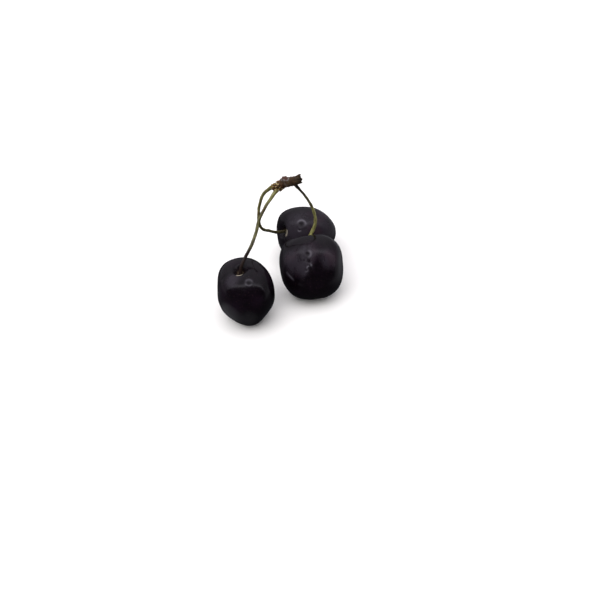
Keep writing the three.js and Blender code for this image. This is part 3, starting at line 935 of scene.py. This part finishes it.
def spur_bark(settings):
    """Bark of a fruiting spur: brown with dull grey skin on it, cracked, with reddish ring scars."""
    material, add = cleared(bpy.data.materials.new("fruit spur bark"))
    grain, share, scar, bud, broken, wrinkle = read_marks(
        add, "grain", "share", "scar", "bud", "broken", "wrinkle"
    )
    cracks = soft_patches(add, grain, 0.45, (1, 1, 0.5), 4)
    worn = add("MapRange", [soft_patches(add, grain, 1.5), 0.47, 0.58], **SMOOTH)
    young = add("MapRange", [share, 0.3, 0.6, 0.8, 0.25], **SMOOTH)
    patchy = add("Math", [soft_patches(add, grain, 0.9), 0.7, bud], **TIMES_PLUS)
    colour = paint(
        add, settings.crack,
        (add("MapRange", [cracks, 0.42, 0.58], **SMOOTH), settings.bark),
        (add("Math", [worn, young], **TIMES), settings.grey),
        (add("MapRange", [share, 0.05, 0.3, 0.85, 0], **SMOOTH), "#7c4c20"),
        (add("MapRange", [patchy, 0.72, 0.98, 0, 0.6], **SMOOTH), "#8c8684"),
        (add("MapRange", [bud, 0.76, 0.94, 0, 0.9], **SMOOTH), settings.scar),
        (add("Math", [scar, 0.5], **TIMES), settings.scar),
        (add("MapRange", [wrinkle, -1, -0.2, 0.5, 0], **SMOOTH), settings.crack),
        (add("MapRange", [share, 0.78, 0.92, 0, 0.6], **SMOOTH), settings.crack),
        (add("MapRange", [broken, 0, 0.4], **SMOOTH), settings.crack),
    )
    add_surface(add, colour, cracks, 0.12, {"Roughness": 0.8})
    return material


def bud_husk(settings):
    """Dry bud scales: papery, gold to orange brown, veined, with pale worn edges and a faint shine, and
    painted shade at their bases and on their core.
    """
    material, add = cleared(bpy.data.materials.new("dry papery bud scale"))
    own, edge, share, shade = read_marks(add, "own", "edge", "share", "shade")
    veins = soft_patches(add, own, 0.22, (1, 1, 0.15), 3)
    worn = add("Math", [veins, 0.35, edge], **TIMES_PLUS)
    colour = paint(
        add, settings.orange,
        (add("MapRange", [shade, 0, 1], **SMOOTH), settings.gold),
        (add("MapRange", [veins, 0.44, 0.56, 0, 0.85], **SMOOTH), "#2c1806"),
        (add("MapRange", [worn, 1.05, 1.25, 0, 0.8], **SMOOTH), settings.pale),
        (add("MapRange", [soft_patches(add, own, 0.7), 0.57, 0.62], **SMOOTH), settings.pale),
        # Painted shade: nearly black at the scales' bases and on the core, for the gaps between them.
        (add("MapRange", [share, 0.15, 0.7, 0.95, 0], **SMOOTH), "#241508"),
    )
    add_surface(add, colour, veins, 0.05, {"Roughness": 0.55})
    return material


# -------- stage

FLOOR_SIDES = 96
# Painted light on the grey bench that the fruit mirrors, in mm: at both sides, but only behind a line across
# it, and in two round pools.
LIT_SIDES = [{"x": (-60, -110), "share": 0.45}, {"x": (28, 50), "share": 0.55}]
LIT_BEHIND = (-45, -20)
LIGHT_POOLS = [
    {"at": (-28, -29), "inner": 5, "outer": 15, "share": 0.6},
    {"at": (-12, -37), "inner": 2, "outer": 11, "share": 0.45},
]


def floor_finish(settings):
    """Matt white paper sweep: it shows only the soft shadows, and the fruit mirrors a grey bench with painted
    light on it.
    """
    material, add = cleared(bpy.data.materials.new("matt white paper"))
    place = add("VectorMath", [add("TexCoord").outputs["Object"], 1 / MM], operation="SCALE")
    fibres = soft_patches(add, place, 0.6, detail=3)
    # A grey bench lit to white: the eye sees it white, and the fruit mirrors its grey, which is painted
    # shade.
    x, y, _ = add("SeparateXYZ", [place]).outputs
    left, right = (add("MapRange", [x, *side["x"], 0, side["share"]], **SMOOTH) for side in LIT_SIDES)
    behind = add("MapRange", [y, *LIT_BEHIND], **SMOOTH)
    pale = add("Math", [add("Math", [left, right]), behind], **TIMES)
    for light_pool in LIGHT_POOLS:
        off = add("VectorMath", [place, (*light_pool["at"], 0)], operation="DISTANCE")
        spread = add("MapRange", [off, light_pool["inner"], light_pool["outer"], light_pool["share"], 0], **SMOOTH)
        pale = add("Math", [pale, spread])
    seen = add("LightPath").outputs["Is Camera Ray"]
    # Painted light: the paler grey on the sides and in the pools, mirrored in the fruit.
    colour = paint(add, settings.bench_shade, (pale, "#98989c"), (seen, settings.floor))
    add_surface(add, colour, fibres, 0.005, {"Roughness": 0.9, "Specular IOR Level": 0.1})
    return material


def add_floor(settings):
    bearing = bearings(FLOOR_SIDES)
    rim = around(settings.floor_radius, bearing, 0 * bearing)
    mesh = bpy.data.meshes.new("floor")
    mesh.from_pydata(rim.tolist(), [], [list(range(FLOOR_SIDES))])
    mesh.materials.append(floor_finish(settings))
    floor = new_object("floor", mesh)


# Strengths of the light from each part of the sky. Its bands run from left to right, and are placed by
# the angle over the head from the horizon behind the camera, in degrees.
SKY = {
    "tint": "#f6f4ff", "seen": "#fcfcfc",
    "left": 0.27, "right": 0.25, "across": 0.7, "zenith": 0.62, "rise": (5, 55),
    "panel": {"low": 67, "high": 86, "soft": 2, "bow": 14, "strength": 1.6},
    "dark": 0.02,
}


def add_sky():
    """Studio light: dim walls, a brighter ceiling with a panel in it, and the dark side of the camera."""
    bpy.context.scene.world, add = cleared(bpy.data.worlds.new("studio"))
    x, y, z = add("SeparateXYZ", [add("TexCoord").outputs["Generated"]]).outputs
    walls = add("MapRange", [x, -SKY["across"], SKY["across"], SKY["left"], SKY["right"]], **SMOOTH)
    height = add("Math", [add("Math", [z], operation="ARCSINE")], operation="DEGREES")
    light = add("Mix", [add("MapRange", [height, *SKY["rise"]], **SMOOTH), walls, SKY["zenith"]])
    behind = add("Math", [y, -1], **TIMES)
    over = add("Math", [add("Math", [z, behind], operation="ARCTAN2")], operation="DEGREES")
    panel, soft = SKY["panel"], SKY["panel"]["soft"]
    over = add("Math", [add("Math", [x, x], **TIMES), -panel["bow"], over], **TIMES_PLUS)
    bright = add("MapRange", [over, panel["high"], panel["low"], 0, panel["strength"]], **SMOOTH)
    above = add("MapRange", [over, panel["low"] - soft, panel["low"] + soft, SKY["dark"]], **SMOOTH)
    light = add("Math", [add("Math", [light, bright]), above], **TIMES)
    studio = add("Background", {"Color": SKY["tint"], "Strength": light})
    plain = add("Background", {"Color": SKY["seen"]})
    seen = add("LightPath").outputs["Is Camera Ray"]
    add("OutputWorld", {"Surface": add("MixShader", [seen, studio, plain])})


# Very wide lamps that aren't seen in the gloss: one whitens the floor, one lights the stalks and the wood.
LAMPS = {
    "overhead": {"from": (-0.1, -0.14, 1), "energy": 1.9, "spread": math.radians(80)},
    "front": {"from": (-0.7, -1, 1), "energy": 1.4, "spread": math.radians(50)},
}


def add_lamps():
    for name, settings in LAMPS.items():
        lamp = bpy.data.lights.new(name, "SUN")
        lamp.energy, lamp.angle = settings["energy"], settings["spread"]
        holder = new_object(name, lamp)
        holder.rotation_euler = Vector(settings["from"]).to_track_quat("Z", "Y").to_euler()
        holder.visible_glossy = False


SENSOR = 36  # mm
CLIP = (0.01, 20)


def add_camera(settings):
    camera = bpy.data.cameras.new("camera")
    camera.lens, camera.sensor_width = settings.lens, SENSOR
    camera.clip_start, camera.clip_end = CLIP
    holder = new_object("camera", camera)
    back = Vector((0, -math.cos(settings.elevation), math.sin(settings.elevation)))
    holder.location = Vector(settings.target) + back * settings.distance
    holder.rotation_euler = (-back).to_track_quat("-Z", "Y").to_euler()
    bpy.context.scene.camera = holder


# -------- operators


class CHERRIES_OT_add_fruit(bpy.types.Operator):
    """Add the three cherries."""

    bl_idname = "cherries.add_fruit"
    bl_label = "Add fruit"

    def execute(self, context):
        material = cherry_skin(context.scene.cherry_cluster.fruit)
        for place in FRUITS:
            add_fruit(place, material)
        return {"FINISHED"}


class CHERRIES_OT_add_stalks(bpy.types.Operator):
    """Add the stalk of each cherry."""

    bl_idname = "cherries.add_stalks"
    bl_label = "Add stalks"

    def execute(self, context):
        settings = context.scene.cherry_cluster.stalk
        material = stalk_skin(settings)
        for place in STALKS:
            add_stalk(place, material, settings.radius / MM)
        return {"FINISHED"}


class CHERRIES_OT_add_spur(bpy.types.Operator):
    """Add the woody spur that the stalks grow from."""

    bl_idname = "cherries.add_spur"
    bl_label = "Add spur"

    def execute(self, context):
        add_spur(spur_bark(context.scene.cherry_cluster.spur))
        return {"FINISHED"}


class CHERRIES_OT_add_bud_scales(bpy.types.Operator):
    """Add the papery scales round the stalks' bases."""

    bl_idname = "cherries.add_bud_scales"
    bl_label = "Add bud scales"

    def execute(self, context):
        settings = context.scene.cherry_cluster.scales
        add_bud_scales(bud_husk(settings), settings.thickness / MM)
        return {"FINISHED"}


class CHERRIES_OT_add_stage(bpy.types.Operator):
    """Add the floor, the light and the camera."""

    bl_idname = "cherries.add_stage"
    bl_label = "Add stage"

    def execute(self, context):
        settings = context.scene.cherry_cluster.stage
        add_floor(settings)
        add_sky()
        add_lamps()
        add_camera(settings)
        context.scene.view_settings.view_transform = "Standard"
        return {"FINISHED"}


class CHERRIES_PT_cluster(bpy.types.Panel):
    """The cluster's settings and its pieces."""

    bl_idname = "CHERRIES_PT_cluster"
    bl_label = "Cherry cluster"
    bl_space_type = "VIEW_3D"
    bl_region_type = "UI"
    bl_category = "Cherries"

    def draw(self, context):
        for group, operator in PIECES.items():
            settings = getattr(context.scene.cherry_cluster, group)
            column = self.layout.column()
            for name in settings.__annotations__:
                column.prop(settings, name)
            column.operator(operator.bl_idname)


PIECES = {
    "stage": CHERRIES_OT_add_stage,
    "fruit": CHERRIES_OT_add_fruit,
    "stalk": CHERRIES_OT_add_stalks,
    "spur": CHERRIES_OT_add_spur,
    "scales": CHERRIES_OT_add_bud_scales,
}
CLASSES = [
    FruitSettings, StalkSettings, SpurSettings, ScaleSettings, StageSettings, ClusterSettings,
    *PIECES.values(), CHERRIES_PT_cluster,
]


def register():
    for item in CLASSES:
        bpy.utils.register_class(item)
    bpy.types.Scene.cherry_cluster = bpy.props.PointerProperty(type=ClusterSettings)


def unregister():
    del bpy.types.Scene.cherry_cluster
    for item in reversed(CLASSES):
        bpy.utils.unregister_class(item)


def main():
    register()
    bpy.ops.cherries.add_stage()
    bpy.ops.cherries.add_fruit()
    bpy.ops.cherries.add_stalks()
    bpy.ops.cherries.add_spur()
    bpy.ops.cherries.add_bud_scales()


if __name__ == "__main__":
    main()
